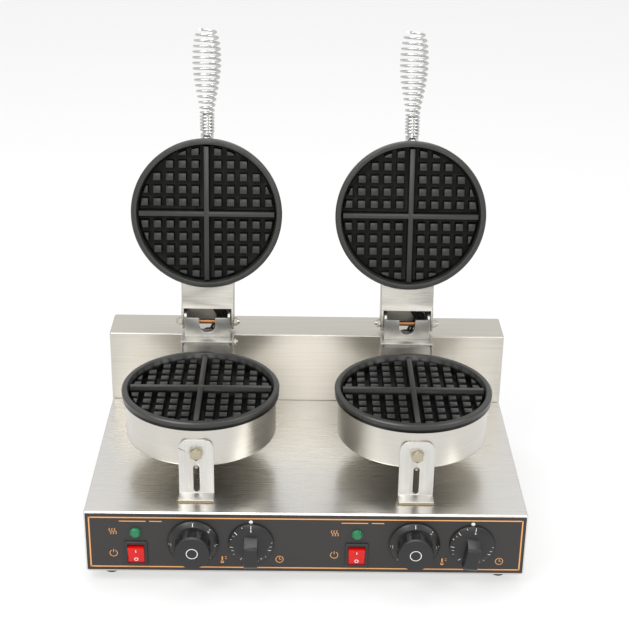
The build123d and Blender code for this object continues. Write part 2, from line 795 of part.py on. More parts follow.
        extrude(amount=-drum_depth - 10, mode=Mode.SUBTRACT)
    finish_part(hinge_arm.part, f"{side}_hinge_arm")

    # Handle stem: turned stem with a collar on the drum, and a core in the neck of the coil
    with BuildPart() as handle_stem:
        core_radius = neck_radius - wire_radius - coil_fit
        stem_base = Plane(shifted(upper, drum_radius - 6, -handle_depth), x_dir=(1, 0, 0), z_dir=upper.y_dir)
        with BuildSketch(stem_base):
            Circle(bolt_radius)
        extrude(amount=8)
        with BuildSketch(stem_base.offset(6.1)):
            Circle(stem_collar_radius)
        extrude(amount=stem_collar_height - 0.1)
        with BuildSketch(stem_base.offset(6 + stem_collar_height)):
            Circle(core_radius)
        extrude(amount=neck_length)
        chamfer(handle_stem.faces().sort_by(lambda f: (f.center() - upper.origin).dot(upper.y_dir))[-1].edges(), 1)
        with BuildSketch(Plane(shifted(upper, drum_radius + 1.5, -handle_depth + 2), x_dir=(1, 0, 0), z_dir=upper.z_dir)):
            with Locations((0, 2)):
                Rectangle(7.5, 3.6)
        extrude(amount=10, mode=Mode.SUBTRACT)
    finish_part(handle_stem.part, f"{side}_handle_stem")

    coil_line = make_coil(f"{side}_handle_coil", upper)
    print(side, "coil: least gap between turns", round(gap_along(coil_line), 2), "mm")

    # Lid leads: sleeved leads down the inside of the arm, side by side
    with BuildPart() as lid_leads:
        for index in range(lead_count):
            across = (index - (lead_count - 1) / 2) * lead_pitch
            low = shifted(upper, arm_start + 1.0, -hinge_rise - lead_gap_to_pivot) + upper.x_dir * (across + grommet_offset)
            knee_low = low + upper.y_dir * 8
            knee_high = shifted(upper, -drum_radius - 12, -arm_front_depth - lead_depth)
            knee_high += upper.x_dir * (across * lead_squeeze + lead_shift)
            high = knee_high + upper.y_dir * 20
            with BuildLine() as lead_route:
                FilletPolyline(low, knee_low, knee_high, high, radius=[9, 9])
            with BuildSketch(Plane(low, z_dir=upper.y_dir)):
                Circle(lead_radius)
            sweep()
    finish_part(lid_leads.part, f"{side}_lid_leads")

    # Indicator lamp: green lens in the panel, with its holder behind
    lamp_plane = front_plane(head_x + lamp_offset, deck_z - lamp_drop, label_y)
    with BuildPart() as indicator_lamp:
        with BuildSketch(lamp_plane.offset(0.05)):
            Circle(lamp_radius)
        extrude(amount=1.6)
        with BuildSketch(lamp_plane.offset(1.6)):
            RegularPolygon(lamp_radius, 8)
        extrude(amount=2.6, taper=30)
        with BuildSketch(lamp_plane.offset(0.06)):
            Circle(lamp_radius - 1.1)
        extrude(amount=-22)
    finish_part(indicator_lamp.part, f"{side}_indicator_lamp")

    # Switch body: bezel on the panel, housing behind it, and a well for the rocker
    switch_plane = front_plane(head_x + lamp_offset, deck_z - switch_drop, label_y)
    rocker_depth = 5.0
    with BuildPart() as switch_body:
        with BuildSketch(switch_plane.offset(0.05)):
            RectangleRounded(switch_width, switch_height, 1.5)
        extrude(amount=switch_bezel)
        bezel_face = switch_body.faces().sort_by(Axis.Y)[0]
        chamfer(bezel_face.edges(), 0.7)
        with BuildSketch(switch_plane.offset(0.06)):
            Rectangle(switch_window_width + 2.6, switch_window_height + 2.6)
        extrude(amount=-switch_body_depth)
        with BuildSketch(switch_plane.offset(switch_bezel + 1)):
            Rectangle(switch_window_width, switch_window_height)
        extrude(amount=-switch_bezel - 1 - 12, mode=Mode.SUBTRACT)
        with BuildSketch(switch_plane.offset(-switch_body_depth + 0.5)):
            with GridLocations(10, 9, 2, 2):
                Rectangle(6.3, 0.8)
        extrude(amount=-8.5)
        with BuildSketch(Plane(origin=(head_x + lamp_offset, label_y + rocker_depth, deck_z - switch_drop), x_dir=(0, 1, 0), z_dir=(1, 0, 0)).offset(-switch_window_width / 2 - 0.9)):
            Circle(1.5 + rod_fit)
        extrude(amount=switch_window_width + 1.8, mode=Mode.SUBTRACT)
    finish_part(switch_body.part, f"{side}_switch_body")

    # Rocker: its lower end is pressed in, so it stands at off
    rocker_plane = Plane(
        origin=(head_x + lamp_offset, label_y + rocker_depth, deck_z - switch_drop), x_dir=(0, 1, 0), z_dir=(1, 0, 0)
    )
    with BuildPart() as rocker:
        with BuildSketch(rocker_plane.offset(-rocker_width / 2)):
            with BuildLine():
                Polyline(
                    (-rocker_depth - 3.4, rocker_half_height),
                    (-rocker_depth - 2.0, 0),
                    (-rocker_depth - 3.4, -rocker_half_height),
                    (0, -rocker_half_height + 1.2),
                    (4, -rocker_half_height + 5),
                    (4, rocker_half_height - 5),
                    (0, rocker_half_height - 1.2),
                    close=True,
                )
            make_face()
        extrude(amount=rocker_width)
        with BuildSketch(rocker_plane.offset(-switch_window_width / 2 - 0.8)):
            Circle(1.5)
        extrude(amount=switch_window_width + 1.6)
    turned_rocker = rocker.part.rotate(Axis(rocker_plane.origin, (1, 0, 0)), rocker_tilt)
    finish_part(turned_rocker, f"{side}_rocker")

    # Thermostat and timer: bodies behind the front wall, each with a bush for its spindle
    for control, offset, box_width, box_height, box_depth in (
        ("thermostat", temperature_offset, 38, 36, 26),
        ("timer", timer_offset, 44, 44, 34),
    ):
        control_plane = front_plane(head_x + offset, deck_z - knob_drop, front_y + sheet)
        with BuildPart() as control_body:
            with BuildSketch(control_plane):
                RectangleRounded(box_width, box_height, 3)
            extrude(amount=-box_depth)
            with BuildSketch(control_plane.offset(-0.1)):
                Circle(bush_radius)
            extrude(amount=sheet + label_plate_sheet + 0.1)
            with BuildSketch(control_plane.offset(sheet + label_plate_sheet + 1)):
                Circle(spindle_radius + spindle_fit)
            extrude(amount=-20, mode=Mode.SUBTRACT)
            with BuildSketch(control_plane.offset(-box_depth)):
                with GridLocations(box_width / 2, box_height / 3, 2, 2):
                    Rectangle(6.3, 0.8)
            extrude(amount=-8)
        finish_part(control_body.part, f"{side}_{control}")

    for knob, offset in (("temperature", temperature_offset), ("timer", timer_offset)):
        knob_plane = front_plane(head_x + offset, deck_z - knob_drop, label_y)
        with BuildPart() as spindle:
            with BuildSketch(knob_plane.offset(-14)):
                Circle(spindle_radius)
            extrude(amount=14 + 15)
            with BuildSketch(knob_plane.offset(4)):
                with Locations((0, spindle_radius)):
                    Rectangle(2 * spindle_radius, 1.6)
            extrude(amount=20, mode=Mode.SUBTRACT)
        finish_part(spindle.part, f"{side}_{knob}_spindle")

    # Temperature knob: wide skirt with a dial, and a lobed grip in front
    knob_plane = front_plane(head_x + temperature_offset, deck_z - knob_drop, label_y)
    with BuildPart() as temperature_knob:
        with BuildSketch(knob_plane.offset(knob_gap)):
            Circle(temperature_skirt_radius)
        extrude(amount=2.2)
        with BuildSketch(knob_plane.offset(knob_gap + 2.2)):
            Circle(temperature_skirt_radius)
        extrude(amount=4.2, taper=50)
        with BuildSketch(knob_plane.offset(knob_gap + 2)):
            Circle(temperature_grip_radius)
            with PolarLocations(temperature_grip_radius + 5.5, 8):
                Circle(8, mode=Mode.SUBTRACT)
        extrude(amount=knob_reach - knob_gap - 2 - 2)
        with BuildSketch(knob_plane.offset(knob_reach - 3)):
            Circle(temperature_grip_radius)
        extrude(amount=3, taper=20)
        with BuildSketch(knob_plane.offset(knob_gap)):
            Circle(spindle_radius + spindle_fit)
        extrude(amount=15, mode=Mode.SUBTRACT)
        with BuildSketch(knob_plane.offset(knob_gap)):
            Circle(temperature_skirt_radius - 2)
            Circle(8, mode=Mode.SUBTRACT)
        extrude(amount=1.6, mode=Mode.SUBTRACT)
    finish_part(temperature_knob.part, f"{side}_temperature_knob")

    # Timer knob: flat cone with a dial, and a bar grip across its lower part
    knob_plane = front_plane(head_x + timer_offset, deck_z - knob_drop, label_y)
    with BuildPart() as timer_knob:
        with BuildSketch(knob_plane.offset(knob_gap)):
            Circle(timer_disc_radius)
        extrude(amount=2.0)
        with BuildSketch(knob_plane.offset(knob_gap + 2.0)):
            Circle(timer_disc_radius)
        extrude(amount=3.0, taper=70)
        with BuildSketch(Plane(knob_plane.origin - Vector(timer_bar_width / 2, 0, 0), x_dir=(0, -1, 0), z_dir=(-1, 0, 0))):
            with BuildLine():
                Polyline(
                    (knob_gap + 3, 10.5),
                    (knob_reach - 4, 6.5),
                    (knob_reach - 2, 4),
                    (knob_reach - 2, -18),
                    (knob_reach - 5, -22.5),
                    (knob_gap + 3, -24),
                    close=True,
                )
            make_face()
        extrude(amount=-timer_bar_width)
        bar_edges = timer_knob.faces().sort_by(Axis.Y)[0].edges()
        fillet(bar_edges, 1.2)
        with BuildSketch(knob_plane.offset(knob_gap)):
            Circle(spindle_radius + spindle_fit)
        extrude(amount=15, mode=Mode.SUBTRACT)
        with BuildSketch(knob_plane.offset(knob_gap)):
            Circle(timer_disc_radius - 2)
            Circle(8, mode=Mode.SUBTRACT)
        extrude(amount=1.4, mode=Mode.SUBTRACT)
    turn = timer_right_turn if side == "right" else 0
    turned_knob = timer_knob.part.rotate(Axis(knob_plane.origin, (0, 1, 0)), turn)
    finish_part(turned_knob, f"{side}_timer_knob")


# Strap bolts: hex bolt with its nut through each strap and drum, and a rivet in each slot
with BuildPart() as strap_bolts:
    for head_x in heads.values():
        bolt_plane = front_plane(head_x, deck_z + strap_bolt_height, strap_y - 0.05)
        with BuildSketch(bolt_plane):
            RegularPolygon(bolt_flats / 2, 6, major_radius=False, rotation=30)
        extrude(amount=bolt_head)
        with BuildSketch(bolt_plane.offset(bolt_head - 0.01)):
            Circle(bolt_washer_radius)
        extrude(amount=0.6)
        with BuildSketch(bolt_plane.offset(0.01)):
            Circle(bolt_radius)
        extrude(amount=-16)
        nut_plane = front_plane(head_x, deck_z + strap_bolt_height, strap_y + strap_sheet + drum_wall + 0.5)
        with BuildSketch(nut_plane):
            RegularPolygon(bolt_flats / 2, 6, major_radius=False, rotation=30)
        extrude(amount=-6)
        rivet_plane = front_plane(head_x, deck_z + strap_slot_top - 3.2, strap_y + strap_sheet - 0.05)
        with BuildSketch(rivet_plane):
            Circle(2.4)
        extrude(amount=1.8, taper=20)
finish_part(strap_bolts.part, "strap_bolts")


# Hinge fasteners: a dome nut on each end of the rods, and a side bolt on the left post
nut_seat = arm_width / 2 + 0.3
with BuildPart() as hinge_fasteners:
    for head_x in heads.values():
        for way in (-1, 1):
            nut_plane = Plane(
                origin=(head_x + way * nut_seat, pivot_y, pivot_z), x_dir=(0, 1, 0), z_dir=(way, 0, 0)
            )
            with BuildSketch(nut_plane):
                RegularPolygon(4.6, 6, major_radius=False)
            extrude(amount=4)
            with BuildSketch(nut_plane.offset(4)):
                Circle(4.2)
            extrude(amount=3.4, taper=25)
            with BuildSketch(nut_plane):
                Circle(rod_radius + rod_fit)
            extrude(amount=rod_length / 2 - nut_seat + 0.1, mode=Mode.SUBTRACT)
    side_plane = Plane(
        origin=(heads["left"] + arm_width / 2 + 0.05, post_y + 14, shelf_z - 6), x_dir=(0, 1, 0), z_dir=(1, 0, 0)
    )
    with BuildSketch(side_plane):
        RegularPolygon(4, 6, major_radius=False)
    extrude(amount=3.5)
    with BuildSketch(side_plane.offset(3.5)):
        Circle(2.5)
    extrude(amount=2)
finish_part(hinge_fasteners.part, "hinge_fasteners")


# Hinge leads: the fixed half of the lid leads, from inside the upstand up to the pivot
with BuildPart() as hinge_leads:
    for head_x in heads.values():
        for index in range(lead_count):
            across = (index - (lead_count - 1) / 2) * lead_pitch + grommet_offset
            top = Vector(head_x + across, pivot_y + lead_gap_to_pivot, pivot_z - 2.5)
            knee = Vector(head_x + across, lead_exit_y, deck_z + upstand_rise + 5)
            foot = Vector(knee.X, lead_exit_y, deck_z + upstand_rise - 30)
            with BuildLine() as fixed_route:
                FilletPolyline(foot, knee, top, radius=[6])
            with BuildSketch(Plane(foot, z_dir=(0, 0, 1))):
                Circle(lead_radius)
            sweep()
finish_part(hinge_leads.part, "hinge_leads")
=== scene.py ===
import json
from math import cos, pi, radians, sin, sqrt, tan

import bmesh
import bpy
from mathutils import Matrix, Vector, noise


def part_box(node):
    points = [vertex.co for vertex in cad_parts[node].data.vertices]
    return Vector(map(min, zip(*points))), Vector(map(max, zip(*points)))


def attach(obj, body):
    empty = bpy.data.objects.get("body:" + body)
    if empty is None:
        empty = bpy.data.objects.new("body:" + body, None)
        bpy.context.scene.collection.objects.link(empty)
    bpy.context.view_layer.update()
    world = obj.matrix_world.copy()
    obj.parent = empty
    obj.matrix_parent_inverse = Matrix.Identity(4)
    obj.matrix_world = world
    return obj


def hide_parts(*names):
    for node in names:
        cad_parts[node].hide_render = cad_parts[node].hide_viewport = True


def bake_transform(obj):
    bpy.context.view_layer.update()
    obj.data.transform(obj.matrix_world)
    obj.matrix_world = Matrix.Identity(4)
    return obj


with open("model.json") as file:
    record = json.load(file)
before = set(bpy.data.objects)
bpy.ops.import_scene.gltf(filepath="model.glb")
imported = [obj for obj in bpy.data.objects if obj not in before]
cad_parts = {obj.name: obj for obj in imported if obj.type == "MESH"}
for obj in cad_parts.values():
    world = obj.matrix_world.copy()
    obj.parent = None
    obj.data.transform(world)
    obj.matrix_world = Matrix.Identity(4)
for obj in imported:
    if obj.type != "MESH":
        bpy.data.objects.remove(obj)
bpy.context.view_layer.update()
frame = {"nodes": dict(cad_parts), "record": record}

# Studio: a plain pale floor under soft light, and the camera at the height of someone
# who stands in front of a counter. The long lens keeps the sides of the base near parallel.
camera_place = Vector((-0.0101, -1.5175, 0.9624))
camera_yaw = radians(0.67)
camera_pitch = radians(24.65)
camera_roll = radians(0.93)
camera_lens = 81.5
sensor_width = 36

forward = Vector((
    sin(camera_yaw) * cos(camera_pitch),
    cos(camera_yaw) * cos(camera_pitch),
    -sin(camera_pitch),
))
right = Vector((cos(camera_yaw), -sin(camera_yaw), 0))
upward = right.cross(forward)
rolled_right = right * cos(camera_roll) + upward * sin(camera_roll)
rolled_up = upward * cos(camera_roll) - right * sin(camera_roll)
camera_data = bpy.data.cameras.new("photo_camera")
camera_data.lens = camera_lens
camera_data.sensor_width = sensor_width
camera_data.sensor_fit = "HORIZONTAL"
camera = bpy.data.objects.new("photo_camera", camera_data)
turned = Matrix((rolled_right, rolled_up, -forward)).transposed().to_4x4()
camera.matrix_world = Matrix.Translation(camera_place) @ turned
bpy.context.scene.collection.objects.link(camera)
bpy.context.scene.camera = camera
bpy.context.scene.view_settings.view_transform = "Standard"


def linear(colour):
    """An sRGB hex colour as linear red, green, blue and alpha."""
    shares = [int(colour[i : i + 2], 16) / 255 for i in (1, 3, 5)]
    return tuple(s / 12.92 if s <= 0.04045 else ((s + 0.055) / 1.055) ** 2.4 for s in shares) + (1.0,)


def add_node(tree, kind, inputs=None, **settings):
    """Adds a node; an input is a value, or another node's output to link."""
    node = tree.nodes.new(kind)
    for key, value in settings.items():
        setattr(node, key, value)
    for key, value in (inputs or {}).items():
        if isinstance(value, bpy.types.NodeSocket):
            tree.links.new(value, node.inputs[key])
        else:
            node.inputs[key].default_value = value
    return node


def new_material(name, **values):
    """A material with one principled shader, and its values by socket name."""
    material = bpy.data.materials.new(name)
    material.use_nodes = True
    shader = material.node_tree.nodes["Principled BSDF"]
    for key, value in values.items():
        shader.inputs[key.replace("_", " ")].default_value = value
    return material, material.node_tree, shader


def soft_light(name, place, aim, width, height, power):
    """A softbox: a wide area light that looks at a point."""
    data = bpy.data.lights.new(name, "AREA")
    data.shape = "RECTANGLE"
    data.size = width
    data.size_y = height
    data.energy = power
    lamp = bpy.data.objects.new(name, data)
    look = (Vector(aim) - Vector(place)).to_track_quat("-Z", "Y")
    lamp.matrix_world = Matrix.Translation(place) @ look.to_matrix().to_4x4()
    bpy.context.scene.collection.objects.link(lamp)


floor_half = 40.0
floor_glow = 0.6
floor_mesh = bpy.data.meshes.new("floor")
floor_corners = [(-floor_half, -floor_half, 0), (floor_half, -floor_half, 0)]
floor_corners += [(floor_half, floor_half, 0), (-floor_half, floor_half, 0)]
floor_mesh.from_pydata(floor_corners, [], [(0, 1, 2, 3)])
floor = bpy.data.objects.new("floor", floor_mesh)
floor_paper = new_material(
    "floor_paper",
    Base_Color=linear("#8c8c8c"),
    Roughness=0.95,
    Emission_Color=linear("#ffffff"),
    Emission_Strength=floor_glow,
)[0]
floor_mesh.materials.append(floor_paper)
bpy.context.scene.collection.objects.link(floor)

object_middle = (0, 0, 0.2)
soft_light("key_softbox", (-1.2, -1.1, 2.2), object_middle, 1.6, 1.2, 34)
soft_light("fill_softbox", (1.7, -0.9, 1.5), object_middle, 1.0, 1.6, 13)
soft_light("top_softbox", (0, 0.5, 2.5), (0, 0.1, 0.2), 2.2, 1.2, 26)
soft_light("front_softbox", (0, -2.4, 1.1), object_middle, 1.4, 0.8, 10)

world = bpy.data.worlds.new("studio_world")
world.use_nodes = True
bpy.context.scene.world = world
sky = world.node_tree
sky_place = add_node(sky, "ShaderNodeTexCoord").outputs["Generated"]
sky_axes = add_node(sky, "ShaderNodeSeparateXYZ", {0: sky_place})
sky_ramp = add_node(sky, "ShaderNodeValToRGB", {0: sky_axes.outputs["Z"]})
sky_ramp.color_ramp.elements[0].color = linear("#c9c8c5")
sky_ramp.color_ramp.elements[0].position = 0.0
sky_ramp.color_ramp.elements[1].color = linear("#ffffff")
sky_ramp.color_ramp.elements[1].position = 0.4
sky.nodes["Background"].inputs["Strength"].default_value = 0.92
sky.links.new(sky_ramp.outputs["Color"], sky.nodes["Background"].inputs["Color"])


# Base shell: the deck, sides and front of the case, folded from 1.2 mm stainless sheet.
# The sheet is brushed from side to side, so it shows fine streaks along the width. Each streak
# is drawn about 1.4 mm wide, which is as coarse as it needs to be to show.
def brushed_stainless(
    name, grain, light="#e0deda", dark="#d6d4cf", roughness=0.3, turn=(0, 0, 0), relief=0.02
):
    """Stainless sheet after a brushing belt: grain gives the streaks per metre along each axis."""
    material, tree, shader = new_material(name, Metallic=1.0)
    place = add_node(tree, "ShaderNodeTexCoord").outputs["Object"]
    spin = add_node(tree, "ShaderNodeMapping", {"Vector": place, "Rotation": turn})
    stretch = add_node(tree, "ShaderNodeMapping", {"Vector": spin.outputs[0], "Scale": grain})
    grained = {"Vector": stretch.outputs[0], "Scale": 1.0, "Detail": 3.0}
    streaks = add_node(tree, "ShaderNodeTexNoise", grained).outputs["Fac"]
    blotch = add_node(tree, "ShaderNodeTexNoise", {"Vector": place, "Scale": 7.0, "Detail": 2.0})
    colour = add_node(tree, "ShaderNodeValToRGB", {0: streaks})
    colour.color_ramp.elements[0].color = linear(dark)
    colour.color_ramp.elements[0].position = 0.3
    colour.color_ramp.elements[1].color = linear(light)
    colour.color_ramp.elements[1].position = 0.7
    mixed = add_node(tree, "ShaderNodeMath", {0: streaks, 1: blotch.outputs["Fac"]}, operation="ADD")
    wear = {"Value": mixed.outputs[0], "From Min": 0.6, "From Max": 1.4}
    wear.update({"To Min": roughness - 0.04, "To Max": roughness + 0.06})
    rough = add_node(tree, "ShaderNodeMapRange", wear)
    bump = add_node(tree, "ShaderNodeBump", {"Height": streaks, "Strength": relief, "Distance": 0.0001})
    tree.links.new(colour.outputs["Color"], shader.inputs["Base Color"])
    tree.links.new(rough.outputs["Result"], shader.inputs["Roughness"])
    tree.links.new(bump.outputs["Normal"], shader.inputs["Normal"])
    return material


def dress(node, material):
    """Gives a piece of the frame its finish."""
    mesh = frame["nodes"][node].data
    mesh.materials.clear()
    mesh.materials.append(material)


dress("base_shell", brushed_stainless("deck_brushed_stainless", (9, 700, 700), roughness=0.27))


# Rear upstand: the same sheet folded into a box along the back of the deck. Small spot welds
# along its foot hold it and leave grey beads, and a thin painted shadow line marks where it meets
# the deck.
def new_piece(name, mesh, material, body, smooth=True):
    """A made piece: its mesh, its finish, and the body that it rides on."""
    piece = bpy.data.objects.new(name, mesh)
    mesh.materials.clear()
    mesh.materials.append(material)
    for face in mesh.polygons:
        face.use_smooth = smooth
    bpy.context.scene.collection.objects.link(piece)
    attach(piece, body)
    return piece


upstand_steel = brushed_stainless("upstand_brushed_stainless", (9, 700, 700), "#d0ccc4", "#c4c0b7", 0.33)
dress("rear_upstand", upstand_steel)
upstand_low, upstand_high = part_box("rear_upstand")
upstand_front = upstand_low.y
deck_top = upstand_low.z

weld_grey, weld_tree, weld_shader = new_material(
    "tack_weld", Base_Color=linear("#8c7f66"), Metallic=0.85, Roughness=0.5
)
weld_place = add_node(weld_tree, "ShaderNodeTexCoord").outputs["Object"]
weld_noise = add_node(weld_tree, "ShaderNodeTexNoise", {"Vector": weld_place, "Scale": 900.0})
weld_bump = add_node(weld_tree, "ShaderNodeBump", {"Height": weld_noise.outputs["Fac"], "Distance": 0.0004})
weld_tree.links.new(weld_bump.outputs["Normal"], weld_shader.inputs["Normal"])


def weld_bead(name, start, end, width, seed):
    """A run of overlapping weld pools from one point to another, as one lumpy bead."""
    pool_step = 0.35
    flatness = 0.7
    sides = 10
    run = end - start
    count = max(6, int(run.length / (width * pool_step)))
    across = run.normalized().cross(Vector((0, 0, 1)))
    bead = bmesh.new()
    rings = []
    for i in range(count + 1):
        share = i / count
        middle = start + run * share
        wobble = noise.noise(Vector((share * count * 0.9, seed, 0.3)))
        swell = width / 2 * (0.78 + 0.22 * abs(sin(share * count * 1.1)) + 0.2 * wobble)
        swell *= min(1, sqrt(max(0, 1 - (2 * share - 1) ** 8)) + 0.15)
        ring = []
        for k in range(sides):
            angle = 2 * pi * k / sides
            offset = across * cos(angle) * swell + Vector((0, 0, 1)) * sin(angle) * swell * flatness
            ring.append(bead.verts.new(middle + offset))
        rings.append(ring)
    for one, two in zip(rings, rings[1:]):
        for k in range(sides):
            bead.faces.new((one[k], one[(k + 1) % sides], two[(k + 1) % sides], two[k]))
    bead.faces.new(rings[0])
    bead.faces.new(list(reversed(rings[-1])))
    bmesh.ops.recalc_face_normals(bead, faces=bead.faces)
    mesh = bpy.data.meshes.new(name)
    bead.to_mesh(mesh)
    bead.free()
    return new_piece(name, mesh, weld_grey, "base")


tack_run = Vector((0.007, 0, 0))
tack_width = 0.0022
for index, tack_x in enumerate((-0.205, -0.055, 0.06, 0.215)):
    tack = Vector((tack_x, upstand_front - 0.0006, deck_top + 0.0003))
    weld_bead(f"upstand_tack_{index}", tack, tack + tack_run, tack_width, index + 3.0)


class Print:
    """Flat ink or shade on a plane: strips, rings and discs gathered into one mesh."""

    def __init__(self, place):
        self.place = place
        self.mesh = bmesh.new()

    def shape(self, points):
        """A filled outline; its points are in the plane, in metres."""
        corners = [self.mesh.verts.new(self.place @ Vector((x, y, 0))) for x, y in points]
        self.mesh.faces.new(corners)

    def strip(self, x0, y0, x1, y1, width):
        """A straight stroke from one point to another."""
        along = Vector((x1 - x0, y1 - y0)).normalized()
        side = Vector((-along.y, along.x)) * width / 2
        near = [(x0 - side.x, y0 - side.y), (x1 - side.x, y1 - side.y)]
        far = [(x1 + side.x, y1 + side.y), (x0 + side.x, y0 + side.y)]
        self.shape(near + far)

    def ring(self, x, y, radius, width, start=0, end=360, steps=40):
        """A stroke along an arc, in degrees from the plane's X axis."""
        inner = radius - width / 2
        outer = radius + width / 2
        for k in range(steps):
            a = radians(start + (end - start) * k / steps)
            b = radians(start + (end - start) * (k + 1) / steps)
            near = [(x + inner * cos(a), y + inner * sin(a)), (x + outer * cos(a), y + outer * sin(a))]
            far = [(x + outer * cos(b), y + outer * sin(b)), (x + inner * cos(b), y + inner * sin(b))]
            self.shape(near + far)

    def disc(self, x, y, radius, steps=24):
        """A filled circle."""
        angles = [2 * pi * k / steps for k in range(steps)]
        self.shape([(x + radius * cos(angle), y + radius * sin(angle)) for angle in angles])

    def done(self, name, material, body, slot):
        """The finished piece."""
        mesh = bpy.data.meshes.new(name)
        bmesh.ops.recalc_face_normals(self.mesh, faces=self.mesh.faces)
        self.mesh.to_mesh(mesh)
        self.mesh.free()
        return new_piece(name, mesh, material, body, smooth=False)


# Painted shadow: a thin dark strip on the deck stands for the shade in the joint.
joint_shade = new_material("joint_gap_shadow", Base_Color=linear("#3a3733"), Roughness=0.8)[0]
seam_half = 0.2475
seam_width = 0.0008
seam = Print(Matrix.Translation((0, upstand_front, deck_top + 0.00005)))
seam.strip(-seam_half, -seam_width / 2, seam_half, -seam_width / 2, seam_width)
seam.done("upstand_seam", joint_shade, "base", "stainless_steel")

# Bottom of the case: plain sheet, rubber feet that carry the weight, and plated screws.
# The cable inlet is moulded nylon, and the terminal block is cream thermoset.
dress("bottom_plate", brushed_stainless("bottom_plate_stainless", (9, 600, 600), "#cbc7c0", "#bdb8b0", 0.38))


def grained_plastic(name, colour, roughness, grain_mm=0.5, depth=0.00012):
    """Moulded plastic or rubber from an eroded tool: a fine even grain that dulls the gloss."""
    material, tree, shader = new_material(name, Base_Color=linear(colour))
    place = add_node(tree, "ShaderNodeTexCoord").outputs["Object"]
    grain = add_node(tree, "ShaderNodeTexNoise", {"Vector": place, "Scale": 1000 / grain_mm / 2})
    raised = {"Height": grain.outputs["Fac"], "Strength": 0.35, "Distance": depth}
    bump = add_node(tree, "ShaderNodeBump", raised)
    tone = add_node(tree, "ShaderNodeTexNoise", {"Vector": place, "Scale": 60.0, "Detail": 4.0})
    wear = {"Value": tone.outputs["Fac"], "To Min": roughness - 0.06, "To Max": roughness + 0.08}
    rough = add_node(tree, "ShaderNodeMapRange", wear)
    tree.links.new(bump.outputs["Normal"], shader.inputs["Normal"])
    tree.links.new(rough.outputs["Result"], shader.inputs["Roughness"])
    return material


foot_rubber = grained_plastic("moulded_rubber", "#232322", 0.62)
dress("feet", foot_rubber)
dress("cable_gland", grained_plastic("moulded_nylon", "#1f1f1f", 0.45))
dress("terminal_block", grained_plastic("terminal_thermoset", "#cfc8b4", 0.5))


def plated_steel(name, colour, roughness=0.2):
    """Zinc or nickel plate over steel: bright, with a faint cloudiness from the bath."""
    material, tree, shader = new_material(name, Base_Color=linear(colour), Metallic=1.0)
    place = add_node(tree, "ShaderNodeTexCoord").outputs["Object"]
    cloud = add_node(tree, "ShaderNodeTexNoise", {"Vector": place, "Scale": 160.0, "Detail": 3.0})
    wear = {"Value": cloud.outputs["Fac"], "To Min": roughness - 0.06, "To Max": roughness + 0.08}
    rough = add_node(tree, "ShaderNodeMapRange", wear)
    tree.links.new(rough.outputs["Result"], shader.inputs["Roughness"])
    return material


dress("base_screws", plated_steel("zinc_plated_screw", "#c4c2bc", 0.3))

# Label plate: black printed sheet with an orange border line, glued to the front of the case.
# The ink is matt, and small orange signs stand where the controls are labelled.
label_black = grained_plastic("black_printed_sheet", "#2b2928", 0.5, 0.4, 0.00005)
dress("label_plate", label_black)
label_low, label_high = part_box("label_plate")
label_face = label_low.y
label_middle = (label_low.z + label_high.z) / 2
orange_ink = new_material("orange_ink", Base_Color=linear("#e3a160"), Roughness=0.5)[0]
white_ink = new_material("white_ink", Base_Color=linear("#e9e9e6"), Roughness=0.5)[0]
ink_height = 0.00006


def front_place(x, z, y):
    """A plane that looks forward at a point: its X is to the right and its Y is up."""
    return Matrix.Translation((x, y, z)) @ Matrix.Rotation(radians(90), 4, "X")


border_x = 0.2438
border_y = 0.0327
border_width = 0.0015
border_end = border_y + border_width / 2
border = Print(front_place(0, label_middle, label_face - ink_height))
for way in (-1, 1):
    border.strip(-border_x, way * border_y, border_x, way * border_y, border_width)
    border.strip(way * border_x, -border_end, way * border_x, border_end, border_width)
border.done("label_border", orange_ink, "base", "black_label")

sign_stroke = 0.0007
sign_radius = 0.0042


def power_sign(ink, x, y):
    """A broken ring with a stroke in its gap, beside the switch."""
    ink.ring(x, y, sign_radius, sign_stroke, 120, 420)
    ink.strip(x, y + 0.001, x, y + 0.0052, sign_stroke)


def heat_sign(ink, x, y):
    """Three waves of rising heat, beside the lamp."""
    wave_radius = 0.0022
    for shift in (-0.003, 0, 0.003):
        ink.ring(x + shift + 0.0012, y, wave_radius, sign_stroke, 120, 240, 12)
        ink.ring(x + shift - 0.0010, y - 0.0038, wave_radius, sign_stroke, -60, 60, 12)


def thermometer_sign(ink, x, y):
    """A bulb, a stem and two ticks, below the temperature knob."""
    ink.disc(x, y - 0.003, 0.0019)
    ink.strip(x, y - 0.003, x, y + 0.0042, 0.0016)
    for rise in (0.0014, 0.0038):
        ink.strip(x + 0.003, y + rise, x + 0.005, y + rise, sign_stroke)


def clock_sign(ink, x, y):
    """A ring with two hands, below the timer knob."""
    ink.ring(x, y, sign_radius, sign_stroke)
    ink.strip(x, y, x, y + 0.003, sign_stroke)
    ink.strip(x, y, x + 0.0022, y, sign_stroke)


head_x = {}
for side in ("left", "right"):
    plate_low, plate_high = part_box(f"{side}_lower_plate")
    head_x[side] = (plate_low.x + plate_high.x) / 2

timer_shift = 0.0632
dot_drop = 0.0106
dot_radius = 0.0022
bar_y = -0.0108
bar_width = 0.0011
for side, middle_x in head_x.items():
    signs = Print(front_place(middle_x, deck_top, label_face - ink_height))
    power_sign(signs, -0.0925, -0.0535)
    heat_sign(signs, -0.0925, -0.0224)
    thermometer_sign(signs, 0.0305, -0.0610)
    clock_sign(signs, 0.0955, -0.0600)
    for bar_x, bar_length in ((-0.0700, 0.030), (-0.0440, 0.014)):
        signs.strip(bar_x - bar_length / 2, bar_y, bar_x + bar_length / 2, bar_y, bar_width)
    signs.done(f"{side}_panel_signs", orange_ink, "base", "black_label")
    dot = Print(front_place(middle_x + timer_shift, deck_top - dot_drop, label_face - ink_height))
    dot.disc(0, 0, dot_radius)
    dot.done(f"{side}_timer_dot", white_ink, "base", "black_label")

